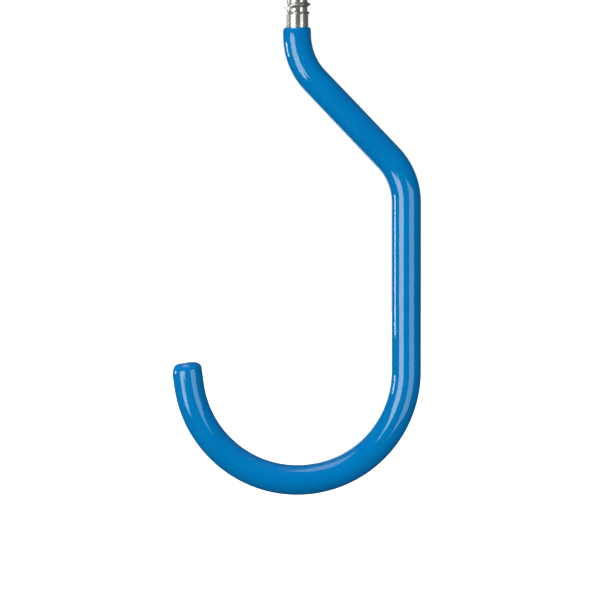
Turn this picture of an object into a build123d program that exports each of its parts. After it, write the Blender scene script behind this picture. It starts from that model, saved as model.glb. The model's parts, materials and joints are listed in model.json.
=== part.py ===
from build123d import *
from math import atan, cos, degrees, radians, sin, tan
import os

# Screw-in bicycle storage hook: one bent steel rod with a wood thread rolled into its end,
# dipped in vinyl from just below the thread to over its tip.
# Millimetres, +Z up along the screw. The hook lies in the XZ plane, with its leg towards +X.
# The origin is on the screw's axis, in the plane of the vinyl's top ring, where the hook
# stops against the joist.

# Steel rod
rod_diameter = 9.525  # 3/8 in bar
bare_shank_length = 5.3  # plain steel between the vinyl and the start of the thread
neck_length = 14.4  # origin down to the corner of the upper bend
jog_angle = 43.6  # the slanted run, measured from the screw's axis
jog_bend_radius = 27.5  # to the rod's centreline, at both ends of the slanted run
leg_length = 82.7  # corner of the lower bend down to the bowl's centre
bowl_radius = 46.35  # to the rod's centreline; it also sets the leg's offset from the screw
tip_lean = 8.0  # how far the bowl stops short of pointing straight up
tip_straight = 8.2  # straight end of the rod after the bowl
tip_chamfer = 0.6  # on the rod's cut end

# Rolled wood thread
thread_length = 45.0  # from the end of the shank to the end of the point
thread_crest_diameter = 11.65
thread_root_diameter = 8.76
thread_pitch = 25.4 / 7  # seven threads to the inch
thread_crest_land = 0.35
thread_flank_angle = 30.0  # each flank, measured from square to the axis
thread_start_angle = -100.0  # where the thread begins, about the screw's axis
thread_runout_turns = 0.35  # it rises out of the shank over this much of a turn
thread_base_depth = 0.6  # how far the ridge's base is sunk into the core
thread_sunk_crest = 0.35  # how far its crest is sunk into the core at either end
neck_down_length = 1.4  # cone between the shank and the thread's root
point_length = 11.0  # tapered point, part of the thread's length
point_tip_radius = 0.7
point_bare_length = 1.8  # end of the point that carries no thread

# Vinyl coating, bonded to the rod all over, so its bore is the rod's own surface
coating_wall = 1.3
coating_tip_wall = 1.7  # vinyl over the rod's cut end
coating_rim_fillet = 0.6  # outer edge of the top ring
coating_tip_fillet = 3.0  # outer edge of the closed end

# Derived
rod_radius = rod_diameter / 2
root_radius = thread_root_diameter / 2
crest_radius = thread_crest_diameter / 2
coating_radius = rod_radius + coating_wall
jog_drop = bowl_radius / tan(radians(jog_angle))
bowl_centre_height = -(neck_length + jog_drop + leg_length)
point_base_height = bare_shank_length + thread_length - point_length


def hook_path(end_length):
    """Centreline from the origin down the neck, jog and leg, and round the bowl to a straight end."""
    upper_corner = (0, 0, -neck_length)
    lower_corner = (bowl_radius, 0, -neck_length - jog_drop)
    leg_end = (bowl_radius, 0, bowl_centre_height)
    jog = FilletPolyline((0, 0, 0), upper_corner, lower_corner, leg_end, radius=jog_bend_radius)
    bowl = Plane.XZ * CenterArc((0, bowl_centre_height), bowl_radius, 0, tip_lean - 180)
    lean = radians(tip_lean)
    bowl_end = Vector(-bowl_radius * cos(lean), 0, bowl_centre_height - bowl_radius * sin(lean))
    tip = Line(bowl_end, bowl_end + Vector(-sin(lean), 0, cos(lean)) * end_length)
    return Wire(jog.edges() + bowl.edges() + tip.edges())


def bent_bar(radius, end_length):
    """Round bar along the hook's centreline."""
    return sweep(Plane.XY * Circle(radius), path=hook_path(end_length))


def tip_edge(bar):
    """Round edge at the bar's free end, on the far side of the bowl from the leg."""
    rims = bar.edges().filter_by(GeomType.CIRCLE)
    return rims.sort_by(lambda rim: rim.center().X)[0]


def top_edge(bar):
    """Round edge at the bar's upper end, on the screw's axis."""
    return bar.edges().filter_by(GeomType.CIRCLE).sort_by(Axis.Z)[-1]


def plain_rod():
    """The rod below the origin, with its cut end chamfered."""
    bar = bent_bar(rod_radius, tip_straight)
    return chamfer(tip_edge(bar), tip_chamfer)


def screw_core():
    """What the thread stands on: shank, neck-down cone, root cylinder and blunt point."""
    point_end_height = point_base_height + point_length
    outline = Polyline(
        (0, 0, 0),
        (rod_radius, 0, 0),
        (rod_radius, 0, bare_shank_length),
        (root_radius, 0, bare_shank_length + neck_down_length),
        (root_radius, 0, point_base_height),
        (point_tip_radius, 0, point_end_height),
        (0, 0, point_end_height),
        close=True,
    )
    return revolve(make_face(outline), axis=Axis.Z)


def ridge_edge(radii, first_turn, turns, offset):
    """Helical edge of the ridge, offset along the screw, whose radius changes evenly."""
    start_radius, end_radius = radii
    height = turns * thread_pitch
    slope = atan((end_radius - start_radius) / height)
    helix = Edge.make_helix(
        pitch=thread_pitch / cos(slope),
        height=height,
        radius=start_radius,
        angle=degrees(slope),
    )
    return helix.moved(Location((0, 0, first_turn * thread_pitch + offset), (0, 0, 360 * first_turn)))


def ridge_corners(base_radii, crest_radii, first_turn, turns, base_width):
    """Four corner edges of one stretch of the ridge, in order round its section."""
    return [
        ridge_edge(base_radii, first_turn, turns, -base_width / 2),
        ridge_edge(crest_radii, first_turn, turns, -thread_crest_land / 2),
        ridge_edge(crest_radii, first_turn, turns, thread_crest_land / 2),
        ridge_edge(base_radii, first_turn, turns, base_width / 2),
    ]


def ridge_end(corners, position):
    """Flat end of the ridge, across its corner edges."""
    return make_face(Polyline(*[corner @ position for corner in corners], close=True)).face()


def thread_ridge():
    """Ridge of the thread: it rises out of the shank, runs full, and sinks into the point."""
    base_radius = root_radius - thread_base_depth
    sunk_crest = root_radius - thread_sunk_crest
    base_width = thread_crest_land + 2 * (crest_radius - base_radius) * tan(radians(thread_flank_angle))
    full_turns = (thread_length - point_length) / thread_pitch - thread_runout_turns
    point_turns = (point_length - point_bare_length) / thread_pitch
    taper = (root_radius - point_tip_radius) * (1 - point_bare_length / point_length)
    stretches = [
        (thread_runout_turns, (base_radius, base_radius), (sunk_crest, crest_radius)),
        (full_turns, (base_radius, base_radius), (crest_radius, crest_radius)),
        (point_turns, (base_radius, base_radius - taper), (crest_radius, sunk_crest - taper)),
    ]
    first_turn = 0
    corners = []
    for turns, base_radii, crest_radii in stretches:
        corners.append(ridge_corners(base_radii, crest_radii, first_turn, turns, base_width))
        first_turn += turns
    faces = [ridge_end(corners[0], 0), ridge_end(corners[-1], 1)]
    for edges in corners:
        for edge, neighbour in zip(edges, edges[1:] + edges[:1]):
            faces.append(Face.make_surface_from_curves(edge, neighbour))
    ridge = Solid(Shell(faces))
    return ridge.moved(Location((0, 0, bare_shank_length), (0, 0, thread_start_angle)))


def hook_rod():
    """Bent rod and its thread, one piece of steel."""
    return plain_rod() + screw_core() + thread_ridge()


def vinyl_coating():
    """Dipped jacket over the rod, open at its top ring and closed over the tip."""
    skin = bent_bar(coating_radius, tip_straight + coating_tip_wall)
    skin = fillet(tip_edge(skin), coating_tip_fillet)
    skin = fillet(top_edge(skin), coating_rim_fillet)
    return skin - plain_rod()


os.makedirs("parts", exist_ok=True)
for node, piece in (("hook_rod", hook_rod()), ("vinyl_coating", vinyl_coating())):
    export_step(piece, f"parts/{node}.step")
    print(node, "solids", len(piece.solids()), "valid", piece.is_valid, "mm3", round(piece.volume, 1))
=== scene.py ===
import bmesh
import bpy
import json
import math
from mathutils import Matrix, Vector, noise


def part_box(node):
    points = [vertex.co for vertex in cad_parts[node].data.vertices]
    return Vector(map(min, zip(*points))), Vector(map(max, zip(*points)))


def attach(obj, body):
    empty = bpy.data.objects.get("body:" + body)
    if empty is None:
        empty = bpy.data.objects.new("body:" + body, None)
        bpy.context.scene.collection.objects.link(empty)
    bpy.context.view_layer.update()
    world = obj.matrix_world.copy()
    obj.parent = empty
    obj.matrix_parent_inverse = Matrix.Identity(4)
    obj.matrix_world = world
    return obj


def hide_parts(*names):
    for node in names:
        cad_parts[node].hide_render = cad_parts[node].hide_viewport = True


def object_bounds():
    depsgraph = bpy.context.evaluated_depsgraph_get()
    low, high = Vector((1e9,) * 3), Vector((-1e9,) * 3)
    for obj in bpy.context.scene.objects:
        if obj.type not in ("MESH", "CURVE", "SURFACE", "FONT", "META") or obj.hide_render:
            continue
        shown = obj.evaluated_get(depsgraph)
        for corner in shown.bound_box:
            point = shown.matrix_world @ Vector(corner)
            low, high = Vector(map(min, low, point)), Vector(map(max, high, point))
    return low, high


# Screw-in bicycle hook: a bent, zinc-plated rod with a rolled wood thread,
# in a dipped vinyl jacket.
# Metres, +Z up along the screw, the hook in the XZ plane with its leg towards +X.

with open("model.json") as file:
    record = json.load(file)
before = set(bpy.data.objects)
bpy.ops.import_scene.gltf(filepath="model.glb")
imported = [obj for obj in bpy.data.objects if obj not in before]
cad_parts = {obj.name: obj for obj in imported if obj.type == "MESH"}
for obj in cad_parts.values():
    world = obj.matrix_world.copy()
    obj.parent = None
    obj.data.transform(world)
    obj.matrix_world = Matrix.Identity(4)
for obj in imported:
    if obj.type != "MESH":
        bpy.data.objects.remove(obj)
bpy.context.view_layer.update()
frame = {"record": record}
mm = 0.001

jacketLow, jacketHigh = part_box("vinyl_coating")
steelLow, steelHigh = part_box("hook_rod")
mounts = {mount["name"]: mount for mount in frame["record"]["mounts"]}
jacketRadius = (jacketHigh.y - jacketLow.y) / 2
crestRadius = (steelHigh.y - steelLow.y) / 2
legX = jacketHigh.x - jacketRadius  # also the bowl's radius
rodRadius = steelHigh.x - legX
bowlHeight = jacketLow.z + jacketRadius + legX  # of the bowl's centre
threadStart = mounts["lag_thread"]["pos_m"][2]
screwTop = steelHigh.z
print("frame loaded")

# how the bar is bent, from the jacket's top ring to the cut end
bends = {
    "neckLength": 14.4 * mm,  # top ring down to the upper corner
    "jogAngle": math.radians(43.6),
    "jogBendRadius": 27.5 * mm,
    "tipLean": math.radians(8.0),  # the bowl stops this far short of upright
    "tipStraight": 8.2 * mm,
    "stationSpacing": 0.55 * mm,
}


def bendingPlan(endLength):
    setback = bends["jogBendRadius"] * math.tan(bends["jogAngle"] / 2)
    jogLength = legX / math.sin(bends["jogAngle"])
    lowerCorner = bends["neckLength"] + legX / math.tan(bends["jogAngle"])
    return [
        ("run", bends["neckLength"] - setback, 0),
        ("bend", bends["jogAngle"], bends["jogBendRadius"]),
        ("run", jogLength - 2 * setback, 0),
        ("bend", -bends["jogAngle"], bends["jogBendRadius"]),
        ("run", -bowlHeight - lowerCorner - setback, 0),
        ("bend", bends["tipLean"] - math.pi, legX),
        ("run", endLength, 0),
    ]


def walkHook(endLength):
    # stations along the bar: place, sideways direction, distance walked
    place, heading, walked = Vector((0, 0, 0)), 0.0, 0.0
    stations = [(place, Vector((1, 0, 0)), 0.0)]
    for kind, amount, radius in bendingPlan(endLength):
        length = amount if kind == "run" else abs(amount) * radius
        count = max(2, round(length / bends["stationSpacing"]))
        turn = 0 if kind == "run" else amount / count
        step = length / count if kind == "run" else 2 * radius * math.sin(abs(turn) / 2)
        for _ in range(count):
            heading += turn / 2
            place = place + Vector((math.sin(heading), 0, -math.cos(heading))) * step
            heading += turn / 2
            walked += length / count
            stations.append((place, Vector((math.cos(heading), 0, math.sin(heading))), walked))
    return stations


def fromAxis(side, radius, angle):
    # from the bar's axis out to its skin
    return side * (radius * math.cos(angle)) + Vector((0, radius * math.sin(angle), 0))


def ringAt(place, side, radiusAt, count, lift=None):
    # one ring about the bar; lift slides each point up the screw
    ring = []
    for j in range(count):
        angle = 2 * math.pi * j / count
        point = place + fromAxis(side, radiusAt(angle), angle)
        if lift:
            point.z += lift(angle)
        ring.append(point)
    return ring


def quadsBetween(rings, start):
    # faces of a skin whose rings were added to the points one after another
    count = len(rings[0])
    faces = []
    for r in range(len(rings) - 1):
        for j in range(count):
            a, b = start + r * count + j, start + r * count + (j + 1) % count
            faces.append((a, b, b + count, a + count))
    return faces


def meshPiece(name, points, faces):
    # touching points are merged, so a ring of no radius closes an end
    mesh = bpy.data.meshes.new(name)
    mesh.from_pydata([tuple(point) for point in points], [], faces)
    work = bmesh.new()
    work.from_mesh(mesh)
    bmesh.ops.remove_doubles(work, verts=work.verts, dist=1e-6)
    bmesh.ops.dissolve_degenerate(work, edges=work.edges, dist=1e-7)
    bmesh.ops.recalc_face_normals(work, faces=work.faces)
    work.to_mesh(mesh)
    work.free()
    mesh.shade_smooth()
    piece = bpy.data.objects.new(name, mesh)
    bpy.context.scene.collection.objects.link(piece)
    return piece


def smoothStep(value):
    value = max(0.0, min(1.0, value))
    return value * value * (3 - 2 * value)


# vinyl jacket, thicker towards the end that was dipped first
jacket = {
    "around": 120,
    "topRadius": 5.97 * mm,
    "legRadius": 6.27 * mm,
    "tipRadius": 6.40 * mm,
    "settleLength": 60 * mm,  # over which it reaches the leg's thickness
    "topShift": 0.12 * mm,  # at the top it sits a little away from the leg
    "topShiftLength": 9 * mm,
    "lipDepth": 1.35 * mm,  # rounded top edge
    "lipCurve": (0.8, 0.9),  # outwards and down; 1 and 1 would round it evenly
    "lipSteps": 12,
    "dipRise": 0.18 * mm,
    "dipFront": -0.42 * mm,  # the top edge sags at the front
    "dipBack": 0.25 * mm,
    "dipSide": 0.12 * mm,
    "dipWander": (0.04 * mm, 0.02 * mm),  # in long and in short waves
    "dipFade": 7 * mm,
    "runDepth": 0.14 * mm,  # a run at the front, where the vinyl drained
    "runAngle": math.radians(-101),
    "runWidth": 0.22,  # radians
    "capWall": 1.95 * mm,  # vinyl over the cut end
    "capDome": 0.50 * mm,
    "capRound": 3.0 * mm,  # how far in the closed end's rounding reaches
    "capDepth": 3.6 * mm,  # and how far back
    "capSwing": 1.3 * mm,  # further back on the outer side
    "capTilt": 0.28 * mm,  # the end sits a little lower on the inner side
    "capSteps": 16,
    "boreGap": 0.01 * mm,  # between the vinyl and the steel
    "boreInset": (2 * mm, 0.5 * mm),  # the bore's rings stop this far short of its ends
    "wallInset": (0.1 * mm, 0.3 * mm),  # and the wall's rings short of the lip and the cap
    "swellHeight": 0.006 * mm,  # slow unevenness of the wall
    "swellSize": 17 * mm,
}


def dipLine(angle):
    # the coating's top edge isn't level
    back = math.sin(angle)
    lift = jacket["dipRise"] + (jacket["dipBack"] if back > 0 else jacket["dipFront"]) * back * back
    away = math.remainder(angle - jacket["runAngle"], 2 * math.pi) / jacket["runWidth"]
    long, short = jacket["dipWander"]
    wander = long * math.cos(3 * angle + 0.6) + short * math.sin(5 * angle)
    run = jacket["runDepth"] * math.exp(-away * away)
    return lift + jacket["dipSide"] * math.cos(angle) + wander - run


def jacketThickness(walked, total):
    settled = 1 - math.exp(-3 * walked / jacket["settleLength"])
    towardsTip = max(0.0, walked / total * 2 - 1)
    radius = jacket["topRadius"] + (jacket["legRadius"] - jacket["topRadius"]) * settled
    return radius + (jacket["tipRadius"] - jacket["legRadius"]) * towardsTip


def jacketBore(count):
    # from the closed end back up to the lip
    radius = rodRadius + jacket["boreGap"]
    fromTop, fromEnd = jacket["boreInset"]
    stations = walkHook(bends["tipStraight"] + jacket["boreGap"])
    end, side, length = stations[-1]
    rings = [ringAt(end, side, lambda a: 0, count), ringAt(end, side, lambda a: radius, count)]
    for place, side, walked in reversed(stations[::4]):
        if fromTop < walked < length - fromEnd:
            rings.append(ringAt(place, side, lambda a: radius, count))
    return rings


def topShift(angle, walked):
    fade = 1 - smoothStep(walked / jacket["topShiftLength"])
    return -jacket["topShift"] * math.cos(angle) * fade


def jacketLip(place, side, radius, count):
    # from the steel out over a rounded edge
    bore = rodRadius + jacket["boreGap"]
    outwards, down = jacket["lipCurve"]
    rings = []
    for step in range(jacket["lipSteps"]):
        phi = math.pi / 2 * step / jacket["lipSteps"]
        share = math.sin(phi) ** outwards
        depth = jacket["lipDepth"] * (1 - math.cos(phi) ** down)
        rings.append(ringAt(
            place, side,
            lambda a: bore + (radius + topShift(a, 0) - bore) * share,
            count,
            lambda a: dipLine(a) - depth,
        ))
    return rings


def jacketSkin(stations, count):
    total = stations[-1][2]
    fromLip, fromCap = jacket["wallInset"]
    lip = jacket["lipDepth"] + fromLip
    last = total - jacket["capDepth"] - jacket["capSwing"] - jacket["capDome"] - fromCap
    rings = []
    for place, side, walked in stations:
        if walked < lip or walked > last:
            continue
        radius = jacketThickness(walked, total)
        fade = max(0.0, 1 - (walked - lip) / jacket["dipFade"]) ** 2

        def swollen(angle):
            spot = (place + fromAxis(side, radius, angle)) / jacket["swellSize"]
            swell = noise.noise(spot) * jacket["swellHeight"]
            return radius + swell + topShift(angle, walked)
        rings.append(ringAt(place, side, swollen, count, lambda a: dipLine(a) * fade))
    return rings


def jacketCap(end, side, radius, count):
    # rounded over the cut rod, then a low dome to its middle
    along = Vector((side.z, 0, -side.x))
    rings = []
    for step in range(jacket["capSteps"] + 1):
        phi = math.pi / 2 * step / jacket["capSteps"]
        shares = [1.0] if step < jacket["capSteps"] else [1.0, 0.8, 0.6, 0.4, 0.2, 0.0]
        for share in shares:
            ring = []
            for j in range(count):
                angle = 2 * math.pi * j / count
                reach = share * (radius - jacket["capRound"] * (1 - math.cos(phi)))
                depth = jacket["capDepth"] + jacket["capSwing"] * math.cos(angle)
                back = depth * (1 - math.sin(phi)) + jacket["capDome"] * (reach / radius) ** 2
                back -= jacket["capTilt"] * math.sin(phi) * math.cos(angle) * reach / radius
                ring.append(end + fromAxis(side, reach, angle) - along * back)
            rings.append(ring)
    return rings


def buildJacket():
    count = jacket["around"]
    stations = walkHook(bends["tipStraight"] + jacket["capWall"])
    top, end = stations[0], stations[-1]
    rings = jacketBore(count)
    rings += jacketLip(top[0], top[1], jacketThickness(0, end[2]), count)
    rings += jacketSkin(stations, count)
    rings += jacketCap(end[0], end[1], jacketThickness(end[2], end[2]), count)
    points = [point for ring in rings for point in ring]
    return meshPiece("vinylJacket", points, quadsBetween(rings, 0))


# steel rod and its rolled thread
thread = {
    "around": 96,
    "rowsPerTurn": 28,
    "pitch": 25.4 / 7 * mm,
    "rootRadius": 4.38 * mm,
    "crestLand": 0.34 * mm,
    "flankAngle": math.radians(30),
    "startAngle": math.radians(-100),
    "lift": 0.12 * mm,
    "runIn": 0.05,  # turns it begins before its start
    "runOut": 0.48,  # turns over which the thread rises from the shank
    "neckDown": 1.4 * mm,
    "pointLength": 11.0 * mm,
    "pointRadius": 0.7 * mm,
    "pointCurve": 1.15,  # above 1 the point bulges a little
    "barePoint": 1.4 * mm,
    "sinkTurns": 2.2,  # over which the thread runs out on the point
    "crestWander": 0.03 * mm,
    "wanderAround": 2.3,  # how quickly the crest wanders around the screw
    "wanderClimb": 1.7,  # and from turn to turn
    "rootFillet": 0.28 * mm,
    "crestRound": 0.06 * mm,
    "cutChamfer": 0.6 * mm,  # on the bar's cut end
    "skinBelow": 1.6 * mm,  # the screw's skin starts this far below the thread
    "paintedShadeEdge": 0.12 * mm,  # how softly the painted shade on the upper flanks begins
}


def screwCore(height):
    # shank, then down to the root, then the tapered point
    root, pointLength = thread["rootRadius"], thread["pointLength"]
    share = (height - screwTop + pointLength) / pointLength
    if share > 0:
        return root + (thread["pointRadius"] - root) * share ** thread["pointCurve"]
    down = smoothStep((height - threadStart) / thread["neckDown"])
    return rodRadius + (root - rodRadius) * down


def nearestRidge(angle, height):
    # turns from the thread's start to the nearest ridge, and how far above it this place is
    startOffset = (angle - thread["startAngle"]) / (2 * math.pi)
    turns = (height - threadStart - thread["lift"]) / thread["pitch"]
    turn = round(turns - startOffset) + startOffset
    return turn, (turns - turn) * thread["pitch"]


def threadRadius(angle, height):
    # from the screw's axis to the steel's skin
    pitch = thread["pitch"]
    core = screwCore(height)
    turn, above = nearestRidge(angle, height)
    early = thread["runIn"]
    if turn < -early:
        return core
    rise = smoothStep((turn + early) / (thread["runOut"] + early))
    endTurn = (screwTop - thread["barePoint"] - threadStart) / pitch
    rise *= smoothStep((endTurn - turn) / thread["sinkTurns"])
    around, climb = thread["wanderAround"], thread["wanderClimb"]
    spot = Vector((math.cos(angle) * around, math.sin(angle) * around, height / pitch * climb))
    wander = noise.noise(spot) * thread["crestWander"]
    onPoint = height > screwTop - thread["pointLength"]
    standing = thread["rootRadius"] if onPoint else max(core, thread["rootRadius"])
    crest = core + (crestRadius - standing + wander) * rise
    shoulder = abs(above) - thread["crestLand"] / 2
    soft = thread["crestRound"]
    shoulder = (shoulder + math.sqrt(shoulder * shoulder + soft * soft)) / 2
    flank = crest - shoulder / math.tan(thread["flankAngle"])
    gap = (flank - core) / thread["rootFillet"]
    if gap > 1:
        return flank
    return core + thread["rootFillet"] * max(0.0, gap + 1) ** 2 / 4


def screwSkin(points, faces, bottom):
    # columns of points whose rows climb with the thread, closed by the blunt point
    count, rows, pitch = thread["around"], thread["rowsPerTurn"], thread["pitch"]
    rowCount = int((screwTop - bottom) / pitch * rows) + 2 * rows + 2
    for j in range(count):
        angle = 2 * math.pi * j / count
        for i in range(rowCount):
            height = bottom + ((i - rows) / rows + j / count) * pitch
            height = max(bottom, min(screwTop, height))
            radius = threadRadius(angle, height)
            points.append(Vector((radius * math.cos(angle), radius * math.sin(angle), height)))
    points.append(Vector((0, 0, screwTop)))
    top = len(points) - 1
    for j in range(count):
        shift = rows if j == count - 1 else 0  # one turn on, the rows have climbed by one pitch
        left, right = j * rowCount, (j + 1) % count * rowCount + shift
        for i in range(rowCount - 1 - shift):
            faces.append((left + i, right + i, right + i + 1, left + i + 1))
        faces.append(((j + 1) * rowCount - 1, ((j + 1) % count + 1) * rowCount - 1, top))


def buildRod():
    count = thread["around"]
    bottom = threadStart - thread["skinBelow"]
    points, faces = [], []
    screwSkin(points, faces, bottom)
    stations = walkHook(bends["tipStraight"])
    end, side, total = stations[-1]
    upright = Vector((1, 0, 0))
    rings = [ringAt(Vector((0, 0, bottom)), upright, lambda a: threadRadius(a, bottom), count)]
    rings.append(ringAt(Vector((0, 0, bottom / 2)), upright, lambda a: rodRadius, count))
    last = total - 1.2 * thread["cutChamfer"]  # leaves room for the chamfer's own ring
    for place, across, walked in stations:
        if walked < last:
            rings.append(ringAt(place, across, lambda a: rodRadius, count))
    along = Vector((side.z, 0, -side.x))
    rings.append(ringAt(end - along * thread["cutChamfer"], side, lambda a: rodRadius, count))
    rings.append(ringAt(end, side, lambda a: rodRadius - thread["cutChamfer"], count))
    rings.append(ringAt(end, side, lambda a: 0, count))
    start = len(points)
    points.extend(point for ring in rings for point in ring)
    faces.extend(quadsBetween(rings, start))
    return meshPiece("hookRod", points, faces)


def markThread(rod):
    # for the finish: how far up a ridge each point stands, the grooves, and a painted shade
    # on the upper flanks, which fades towards the side away from the leg
    kinds = ("ridge", "groove", "paintedFlankShade")
    marks = {kind: rod.data.attributes.new(kind, "FLOAT", "POINT") for kind in kinds}
    for index, vertex in enumerate(rod.data.vertices):
        x, y, height = vertex.co
        if height < threadStart - mm:
            continue
        stand = (math.hypot(x, y) - screwCore(height)) / (crestRadius - thread["rootRadius"])
        stand = max(0.0, min(1.0, stand))
        above = nearestRidge(math.atan2(y, x) % (2 * math.pi), height)[1]
        marks["ridge"].data[index].value = stand
        begun = smoothStep((height - threadStart) / mm)
        marks["groove"].data[index].value = begun * (1 - smoothStep(stand * 2.5))
        # painted shade: the upper flanks are darkened, most on the leg's side
        upperFlank = smoothStep(stand * 5) * smoothStep(above / thread["paintedShadeEdge"])
        marks["paintedFlankShade"].data[index].value = upperFlank * smoothStep(x / crestRadius + 0.5)


hookRod = buildRod()
markThread(hookRod)
print("rod and thread built,", len(hookRod.data.polygons), "faces")
vinylJacket = buildJacket()
print("jacket built,", len(vinylJacket.data.polygons), "faces")

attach(hookRod, "root")
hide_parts("hook_rod")
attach(vinylJacket, "root")
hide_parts("vinyl_coating")


def addNode(tree, kind, settings=None, **values):
    # socket values by name, with _ for a space; s0, s1... stand for a socket's place
    node = tree.nodes.new(kind)
    for name, value in (settings or {}).items():
        setattr(node, name, value)
    for name, value in values.items():
        socket = node.inputs[int(name[1:]) if name[1:].isdigit() else name.replace("_", " ")]
        if isinstance(value, bpy.types.NodeSocket):
            tree.links.new(value, socket)
        else:
            socket.default_value = value
    return node


def sums(tree, operation, first, second):
    return addNode(tree, "ShaderNodeMath", {"operation": operation}, s0=first, s1=second).outputs[0]


def between(tree, value, low, high):
    # 0 at low, 1 at high, eased
    node = addNode(tree, "ShaderNodeMapRange", {"interpolation_type": "SMOOTHSTEP"}, s0=value)
    for socket, limit in ((node.inputs[1], low), (node.inputs[2], high)):
        if isinstance(limit, bpy.types.NodeSocket):
            tree.links.new(limit, socket)
        else:
            socket.default_value = limit
    return node.outputs[0]


def blend(tree, share, first, second):
    mixed = addNode(tree, "ShaderNodeMix", {"data_type": "RGBA"}, s0=share, s6=first, s7=second)
    return mixed.outputs[2]


def startGroup(name, inputs, outputs):
    group = bpy.data.node_groups.new(name, "ShaderNodeTree")
    number = "NodeSocketFloat"
    for label, value in inputs:
        socket = group.interface.new_socket(label, in_out="INPUT", socket_type=number)
        socket.default_value = value
    for label in outputs:
        group.interface.new_socket(label, in_out="OUTPUT", socket_type=number)
    given = group.nodes.new("NodeGroupInput").outputs
    return group, given, group.nodes.new("NodeGroupOutput").inputs


def stretchedPlace(group, stretch):
    # places on the piece, drawn out along the screw
    coordinates = group.nodes.new("ShaderNodeTexCoord").outputs["Object"]
    along = sums(group, "DIVIDE", 1.0, stretch)
    scale = addNode(group, "ShaderNodeCombineXYZ", X=1.0, Y=1.0, Z=along).outputs[0]
    multiply = {"operation": "MULTIPLY"}
    return addNode(group, "ShaderNodeVectorMath", multiply, s0=coordinates, s1=scale).outputs[0]


def cloudAt(group, place, size, detail):
    scale = sums(group, "DIVIDE", 1.0, size)
    noisy = addNode(group, "ShaderNodeTexNoise", Vector=place, Scale=scale, Detail=detail)
    return noisy.outputs[0]


def makeMottle():
    # cloudy variation: Mask is where it shows, Height is the cloud itself
    inputs = [("Size", 0.002), ("Stretch", 1.0), ("Low", 0.4), ("High", 0.6), ("Detail", 3.0)]
    group, given, result = startGroup("mottle", inputs, ["Mask", "Height"])
    place = stretchedPlace(group, given["Stretch"])
    cloud = cloudAt(group, place, given["Size"], given["Detail"])
    group.links.new(between(group, cloud, given["Low"], given["High"]), result["Mask"])
    group.links.new(cloud, result["Height"])
    return group


def makeRubMarks():
    # short fine scuffs, in patches
    inputs = [("Size", 0.002), ("Stretch", 8.0), ("Width", 0.02), ("Patches", 0.02), ("Cover", 0.5)]
    group, given, result = startGroup("rubMarks", inputs, ["Mask"])
    place = stretchedPlace(group, given["Stretch"])
    slant = {"Axis": (0.4, 1.0, 0.2), "Angle": 0.6}
    turned = addNode(group, "ShaderNodeVectorRotate", Vector=place, **slant).outputs[0]
    cloud = cloudAt(group, turned, given["Size"], 1.0)
    away = sums(group, "ABSOLUTE", sums(group, "SUBTRACT", cloud, 0.5), 0.0)
    line = sums(group, "SUBTRACT", 1.0, between(group, away, 0.0, given["Width"]))
    patch = cloudAt(group, place, given["Patches"], 2.0)
    start = sums(group, "SUBTRACT", 0.75, sums(group, "MULTIPLY", given["Cover"], 0.4))
    shown = between(group, patch, start, sums(group, "ADD", start, 0.12))
    group.links.new(sums(group, "MULTIPLY", line, shown), result["Mask"])
    return group


def makeSettledDust():
    # a thin film on what faces up
    inputs = [("Amount", 0.2), ("Size", 0.004)]
    group, given, result = startGroup("settledDust", inputs, ["Mask"])
    normal = group.nodes.new("ShaderNodeNewGeometry").outputs["Normal"]
    upright = addNode(group, "ShaderNodeSeparateXYZ", Vector=normal).outputs["Z"]
    upward = between(group, upright, 0.25, 1.0)
    coordinates = group.nodes.new("ShaderNodeTexCoord").outputs["Object"]
    cloud = cloudAt(group, coordinates, given["Size"], 5.0)
    film = sums(group, "MULTIPLY", upward, between(group, cloud, 0.35, 0.7))
    group.links.new(sums(group, "MULTIPLY", film, given["Amount"]), result["Mask"])
    return group


mottle, rubMarks, settledDust = makeMottle(), makeRubMarks(), makeSettledDust()
print("shared finish groups made")


def newMaterial(name):
    material = bpy.data.materials.new(name)
    material.use_nodes = True
    return material, material.node_tree, material.node_tree.nodes["Principled BSDF"]


def useGroup(tree, group, **values):
    return addNode(tree, "ShaderNodeGroup", {"node_tree": group}, **values).outputs


def bumpFrom(tree, height, distance, under=None):
    node = addNode(tree, "ShaderNodeBump", Height=height, Distance=distance, Strength=1.0)
    if under:
        tree.links.new(under, node.inputs["Normal"])
    return node.outputs[0]


# dipped vinyl: wet gloss, a slight orange peel, faint scuffs, duller where wheels hang
vinylLook = {
    "blue": (0.0, 0.232, 0.655, 1),
    "deepBlue": (0.0, 0.219, 0.625, 1),
    "dustColour": (0.30, 0.42, 0.52, 1),
    "ior": 1.50,
    "shade": {"Size": 15 * mm, "Low": 0.35, "High": 0.65},  # where it is deeper blue
    "gloss": 0.035,  # roughness of clean vinyl
    "peel": {"Size": 2.4 * mm, "Detail": 1.0},
    "peelDepth": 0.0015 * mm,
    "peelDull": 0.008,  # the Dull values add to the roughness
    "scuffs": {"Size": 1.6 * mm, "Stretch": 5.0, "Width": 0.012, "Patches": 22 * mm, "Cover": 0.3},
    "scuffDull": 0.03,
    "wheelDull": 0.08,
    "wheelDrop": (0.4, 0.8),  # bowl radii below its centre where rims begin to rub, and rub most
    "wheelFacing": (0.3, 0.9),  # and how far up the vinyl has to face
    "dust": {"Amount": 0.10, "Size": 3 * mm},
    "dustDull": 0.6,
}


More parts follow.
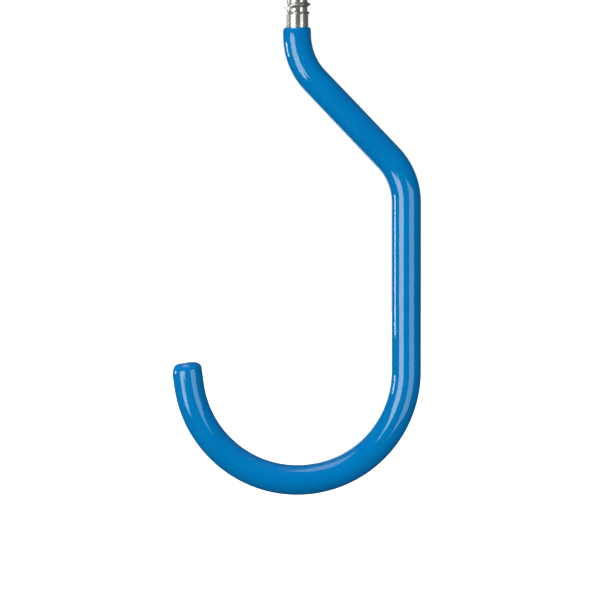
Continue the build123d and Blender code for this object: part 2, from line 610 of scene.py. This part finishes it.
def dippedVinyl():
    look = vinylLook
    material, tree, shader = newMaterial("dippedVinyl")
    shade = useGroup(tree, mottle, **look["shade"])["Mask"]
    peel = useGroup(tree, mottle, **look["peel"])
    scuffs = useGroup(tree, rubMarks, **look["scuffs"])["Mask"]
    dust = useGroup(tree, settledDust, **look["dust"])["Mask"]
    # the inside of the bowl, where a rim rests
    facing = tree.nodes.new("ShaderNodeNewGeometry")
    upward = addNode(tree, "ShaderNodeSeparateXYZ", Vector=facing.outputs["Normal"]).outputs["Z"]
    height = addNode(tree, "ShaderNodeSeparateXYZ", Vector=facing.outputs["Position"]).outputs["Z"]
    low = between(tree, height, *(bowlHeight - share * legX for share in look["wheelDrop"]))
    rested = sums(tree, "MULTIPLY", low, between(tree, upward, *look["wheelFacing"]))
    colour = blend(tree, shade, look["blue"], look["deepBlue"])
    tree.links.new(blend(tree, dust, colour, look["dustColour"]), shader.inputs["Base Color"])
    dull = sums(tree, "ADD", sums(tree, "MULTIPLY", peel["Mask"], look["peelDull"]), look["gloss"])
    for mask, name in ((scuffs, "scuffDull"), (rested, "wheelDull"), (dust, "dustDull")):
        dull = sums(tree, "ADD", dull, sums(tree, "MULTIPLY", mask, look[name]))
    tree.links.new(dull, shader.inputs["Roughness"])
    tree.links.new(bumpFrom(tree, peel["Height"], look["peelDepth"]), shader.inputs["Normal"])
    shader.inputs["IOR"].default_value = look["ior"]
    return material


# zinc plate over drawn bar: cloudy, blue-green and straw patches, dark in the thread's grooves,
# with painted shade on the thread's upper flanks
zincLook = {
    "bright": (0.86, 0.87, 0.84, 1),
    "clouded": (0.56, 0.56, 0.52, 1),
    "straw": (0.66, 0.60, 0.48, 1),
    "blueGreen": (0.50, 0.68, 0.71, 1),
    # the colour of the grime in the grooves and of the painted shade on the upper flanks
    "grimeAndShadeColour": (0.06, 0.055, 0.05, 1),
    "clouds": {"Size": 1.1 * mm, "Stretch": 2.5, "Low": 0.40, "High": 0.62, "Detail": 5.0},
    "strawPatches": {"Size": 2.6 * mm, "Stretch": 1.4, "Low": 0.50, "High": 0.66},
    "coolPatches": {"Size": 3.4 * mm, "Low": 0.52, "High": 0.68, "Detail": 2.0},
    "pits": {"Size": 0.45 * mm, "Stretch": 1.3, "Low": 0.58, "High": 0.70, "Detail": 4.0},
    "drawn": {"Size": 0.5 * mm, "Stretch": 14.0, "Detail": 2.0},
    "rubs": {"Size": 0.7 * mm, "Stretch": 1.0, "Width": 0.02, "Patches": 5 * mm, "Cover": 0.8},
    "dust": {"Amount": 0.35, "Size": 0.8 * mm},
    "strawShare": 0.55,
    "coolShare": 0.45,
    "rubbedShare": 0.5,  # of the bright colour along the crests
    "rubbedStand": (0.75, 1.0),  # how far up a ridge the rubbing begins, and is full
    "grooveDirt": 0.30,
    # how dark the painted shade on the upper flanks gets
    "paintedShadeShare": 0.85,
    "metallic": 0.92,
    "cloudCover": 0.22,  # this and the next are taken off the metallic value
    "dirtCover": 0.6,
    "sheen": 0.13,  # roughness where it is brightest
    # and what roughens it
    "dulling": {"clouds": 0.12, "pits": 0.10, "dirt": 0.3, "dust": 0.5, "rubs": 0.1},
    "pitDepth": 0.006 * mm,
    "drawnDepth": 0.005 * mm,
    "rubDepth": -0.006 * mm,
}


def zincPlate():
    look = zincLook
    material, tree, shader = newMaterial("zincPlate")
    clouds = useGroup(tree, mottle, **look["clouds"])["Mask"]
    straw = useGroup(tree, mottle, **look["strawPatches"])["Mask"]
    cool = useGroup(tree, mottle, **look["coolPatches"])["Mask"]
    pits = useGroup(tree, mottle, **look["pits"])
    drawn = useGroup(tree, mottle, **look["drawn"])["Height"]
    rubs = useGroup(tree, rubMarks, **look["rubs"])["Mask"]
    dust = useGroup(tree, settledDust, **look["dust"])["Mask"]
    ridge, groove, paintedFlankShade = (
        addNode(tree, "ShaderNodeAttribute", {"attribute_name": kind}).outputs["Fac"]
        for kind in ("ridge", "groove", "paintedFlankShade")
    )
    rubbed = between(tree, ridge, *look["rubbedStand"])
    # grime in the grooves, and painted shade on the upper flanks; together they darken the colour,
    # take off metallic and roughen it
    dirt = sums(tree, "MULTIPLY", groove, sums(tree, "MULTIPLY", clouds, look["grooveDirt"]))
    dirt = sums(tree, "MAXIMUM", dirt, sums(tree, "MULTIPLY", paintedFlankShade, look["paintedShadeShare"]))
    colour = blend(tree, clouds, look["bright"], look["clouded"])
    patches = (
        (straw, "strawShare", "straw"),
        (cool, "coolShare", "blueGreen"),
        (rubbed, "rubbedShare", "bright"),
    )
    for mask, share, name in patches:
        colour = blend(tree, sums(tree, "MULTIPLY", mask, look[share]), colour, look[name])
    colour = blend(tree, dirt, colour, look["grimeAndShadeColour"])
    tree.links.new(colour, shader.inputs["Base Color"])
    plate = look["metallic"]
    for mask, name in ((clouds, "cloudCover"), (dirt, "dirtCover")):
        plate = sums(tree, "SUBTRACT", plate, sums(tree, "MULTIPLY", mask, look[name]))
    tree.links.new(plate, shader.inputs["Metallic"])
    masks = {"clouds": clouds, "pits": pits["Mask"], "dirt": dirt, "dust": dust, "rubs": rubs}
    dull = look["sheen"]
    for name, amount in look["dulling"].items():
        dull = sums(tree, "ADD", dull, sums(tree, "MULTIPLY", masks[name], amount))
    tree.links.new(dull, shader.inputs["Roughness"])
    lines = bumpFrom(tree, drawn, look["drawnDepth"])
    pitted = bumpFrom(tree, pits["Height"], look["pitDepth"], lines)
    tree.links.new(bumpFrom(tree, rubs, look["rubDepth"], pitted), shader.inputs["Normal"])
    return material


vinylJacket.data.materials.append(dippedVinyl())
hookRod.data.materials.append(zincPlate())
print("materials made")

# camera, floor and room
studio = {
    "aim": Vector((0.8, 0, -115.2)) * mm,  # the lens looks level at this point
    "distance": 925 * mm,
    "sensorWidth": 36,  # in the lens's own millimetres
    "clipping": (0.05, 100),
    "frameWidth": 254.25 * mm,  # seen across at the hook
    "floorDrop": 90 * mm,  # floor below the bowl
    "floorSize": 60.0,
    "floorGlowWithPaintedShade": (0.47, 0.85),  # a painted shade under the hook, and the even glow away from it
    "paintedShadeReach": (0.10, 0.32),  # how far out the painted shade brightens
    "floorColour": (0.8, 0.8, 0.8, 1),
    "floorSun": 2.0,
    "floorSunTowards": Vector((0.1, 0.15, -1)),
    "floorSunSpread": math.radians(16),
    "backdrop": 1.02,
    "roomDiffuse": 0.16,
    "roomGloss": 0.02,
}

keyTint = (0.97, 1.0, 0.86)
fillTint = (0.72, 1.0, 0.97)
plain = (1, 1, 1)

# upright light cards: bearings in degrees from the camera's side, negative to its left
cards = {
    "keyCard": {"near": -20, "far": -57.5, "away": 0.90,
                "low": -0.218, "high": 0.113, "radiance": 6.1, "colour": keyTint},
    "keyFoot": {"near": -34, "far": -59, "away": 0.90,
                "low": -0.310, "high": -0.218, "radiance": 6.1, "colour": keyTint},
    "keyToe": {"near": -37, "far": -59, "away": 0.90,
               "low": -0.375, "high": -0.310, "radiance": 6.1, "colour": keyTint},
    "keyTip": {"near": -43, "far": -57, "away": 0.90,
               "low": -0.440, "high": -0.375, "radiance": 6.1, "colour": keyTint},
    "keyTail": {"near": -28, "far": -37, "away": 0.90,
                "low": -0.62, "high": -0.375, "radiance": 0.16, "colour": keyTint},
    "edgeCard": {"near": -95, "far": -107, "away": 0.80,
                 "low": -0.145, "high": 0.012, "radiance": 12.0, "colour": plain},
    "rearCard": {"near": -148, "far": -173, "away": 0.90,
                 "low": -0.60, "high": 0.40, "radiance": 1.6, "colour": plain},
}

# on the vinyl alone
vinylCards = {
    "fillCard": {"near": 24, "far": 62, "away": 0.85,
                 "low": -0.44, "high": 0.088, "radiance": 3.2, "colour": fillTint},
}

# the same sides higher up, for the plated steel alone
steelCards = {
    "keyHead": {"near": -27, "far": -64, "away": 0.90,
                "low": 0.113, "high": 0.40, "radiance": 3.2, "colour": plain},
    "fillHead": {"near": 37, "far": 61, "away": 0.85,
                 "low": -0.10, "high": 0.40, "radiance": 2.2, "colour": plain},
    "leftHead": {"near": -101, "far": -118, "away": 0.90,
                 "low": -0.20, "high": 0.40, "radiance": 0.85, "colour": plain},
    "rimHead": {"near": -118, "far": -175, "away": 0.90,
                "low": -0.20, "high": 0.40, "radiance": 0.28, "colour": plain},
    "gapHead": {"near": 43, "far": -26, "away": 0.95,
                "low": -0.20, "high": 0.40, "radiance": 0.05, "colour": plain},
    "sideHead": {"near": 60, "far": 175, "away": 0.95,
                 "low": -0.20, "high": 0.40, "radiance": 0.08, "colour": plain},
}

# cards above and below: where they hang, their sizes, and how bright they are
flats = {
    "topCard": {"place": (-0.28, -0.20, 0.80), "size": (0.6, 0.6), "radiance": 2.2},
    "underCard": {"place": (0, 0.36, -0.80), "size": (1.3, 0.45), "radiance": 1.3},
    "backCard": {"place": (0, 0.95, -0.05), "size": (0.7, 0.9), "radiance": 1.5},
}

# and for the steel alone
steelFlats = {
    "backHead": {"place": (-0.40, 0.60, 0.45), "size": (0.6, 0.5), "radiance": 0.9},
    "underHead": {"place": (-0.25, 0.45, -0.75), "size": (0.9, 0.6), "radiance": 1.6},
}


def onlyOn(name, pieces):
    # a lamp given this collection lights nothing else
    collection = bpy.data.collections.new(name)
    for piece in pieces:
        collection.objects.link(piece)
    return collection


def addLamp(name, kind, place, facing, lit):
    lamp = bpy.data.lights.new(name, kind)
    lampObject = bpy.data.objects.new(name, lamp)
    lampObject.location = place
    lampObject.rotation_euler = facing.to_track_quat("-Z", "Y").to_euler()
    lampObject.visible_camera = False
    lampObject.light_linking.receiver_collection = lit
    bpy.context.scene.collection.objects.link(lampObject)
    return lamp


def addCard(name, place, facing, size, radiance, lit, colour=plain):
    lamp = addLamp(name, "AREA", place, facing, lit)
    lamp.shape = "RECTANGLE"
    lamp.size, lamp.size_y = size
    lamp.energy = radiance * math.pi * size[0] * size[1]
    lamp.color = colour


def addUprightCard(name, card, lit):
    middle = math.radians((card["near"] + card["far"]) / 2)
    spread = math.radians(abs(card["far"] - card["near"]) / 2)
    towards = Vector((math.sin(middle), -math.cos(middle), 0))
    place = towards * (card["away"] * math.cos(spread))
    place.z = (card["low"] + card["high"]) / 2
    size = (2 * card["away"] * math.sin(spread), card["high"] - card["low"])
    addCard(name, place, -towards, size, card["radiance"], lit, card["colour"])


def addFloor():
    # pale, with a painted shade around the hook that brightens outwards, and a sun of its own, so
    # the hook drops only a soft shadow
    half = studio["floorSize"] / 2
    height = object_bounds()[0].z - studio["floorDrop"]
    square = ((-1, -1), (1, -1), (1, 1), (-1, 1))
    corners = [Vector((x * half, y * half, height)) for x, y in square]
    floor = meshPiece("floor", corners, [(0, 1, 2, 3)])
    material, tree, shader = newMaterial("paleFloor")
    place = tree.nodes.new("ShaderNodeNewGeometry").outputs["Position"]
    flatten, measure = {"operation": "MULTIPLY"}, {"operation": "LENGTH"}
    level = addNode(tree, "ShaderNodeVectorMath", flatten, s0=place, s1=(1, 1, 0)).outputs[0]
    out = addNode(tree, "ShaderNodeVectorMath", measure, s0=level).outputs["Value"]
    # painted shade: the floor glows less near the hook than further out
    near, far = ((glow, glow, glow, 1) for glow in studio["floorGlowWithPaintedShade"])
    glow = blend(tree, between(tree, out, *studio["paintedShadeReach"]), near, far)
    tree.links.new(glow, shader.inputs["Emission Color"])
    shader.inputs["Emission Strength"].default_value = 1.0
    shader.inputs["Base Color"].default_value = studio["floorColour"]
    shader.inputs["Roughness"].default_value = 1.0
    shader.inputs["Specular IOR Level"].default_value = 0.0
    floor.data.materials.append(material)
    floor.visible_glossy = False
    floor.visible_diffuse = False
    above, towards = Vector((0, 0, 1)), studio["floorSunTowards"]
    lamp = addLamp("floorSun", "SUN", above, towards, onlyOn("floorOnly", [floor]))
    lamp.energy = studio["floorSun"]
    lamp.angle = studio["floorSunSpread"]


def addWorld():
    world = bpy.data.worlds.new("studio")
    bpy.context.scene.world = world
    world.use_nodes = True
    tree = world.node_tree
    tree.nodes.clear()
    ray = tree.nodes.new("ShaderNodeLightPath").outputs
    room, mirrored, backdrop = (
        addNode(tree, "ShaderNodeBackground", Color=(1, 1, 1, 1), Strength=studio[glow]).outputs[0]
        for glow in ("roomDiffuse", "roomGloss", "backdrop")
    )
    for kind, back in (("Is Glossy Ray", mirrored), ("Is Camera Ray", backdrop)):
        room = addNode(tree, "ShaderNodeMixShader", s0=ray[kind], s1=room, s2=back).outputs[0]
    addNode(tree, "ShaderNodeOutputWorld", Surface=room)


def addCamera():
    camera = bpy.data.cameras.new("camera")
    camera.sensor_width = studio["sensorWidth"]
    camera.lens = camera.sensor_width * studio["distance"] / studio["frameWidth"]
    camera.clip_start, camera.clip_end = studio["clipping"]
    eye = bpy.data.objects.new("camera", camera)
    eye.location = studio["aim"] + Vector((0, -studio["distance"], 0))
    eye.rotation_euler = (math.pi / 2, 0, 0)
    bpy.context.scene.collection.objects.link(eye)
    bpy.context.scene.camera = eye


addFloor()
addWorld()
addCamera()
hookOnly = onlyOn("hookOnly", [hookRod, vinylJacket])
vinylOnly, steelOnly = onlyOn("vinylOnly", [vinylJacket]), onlyOn("steelOnly", [hookRod])
for group, lit in ((cards, hookOnly), (vinylCards, vinylOnly), (steelCards, steelOnly)):
    for name, card in group.items():
        addUprightCard(name, card, lit)
for group, lit in ((flats, hookOnly), (steelFlats, steelOnly)):
    for name, flat in group.items():
        place = Vector(flat["place"])
        addCard(name, place, studio["aim"] - place, flat["size"], flat["radiance"], lit)
for name in ("underCard", "backCard"):  # these two lighten the vinyl without a reflection
    bpy.data.objects[name].visible_glossy = False
bpy.context.scene.view_settings.view_transform = "Standard"
print("studio set")
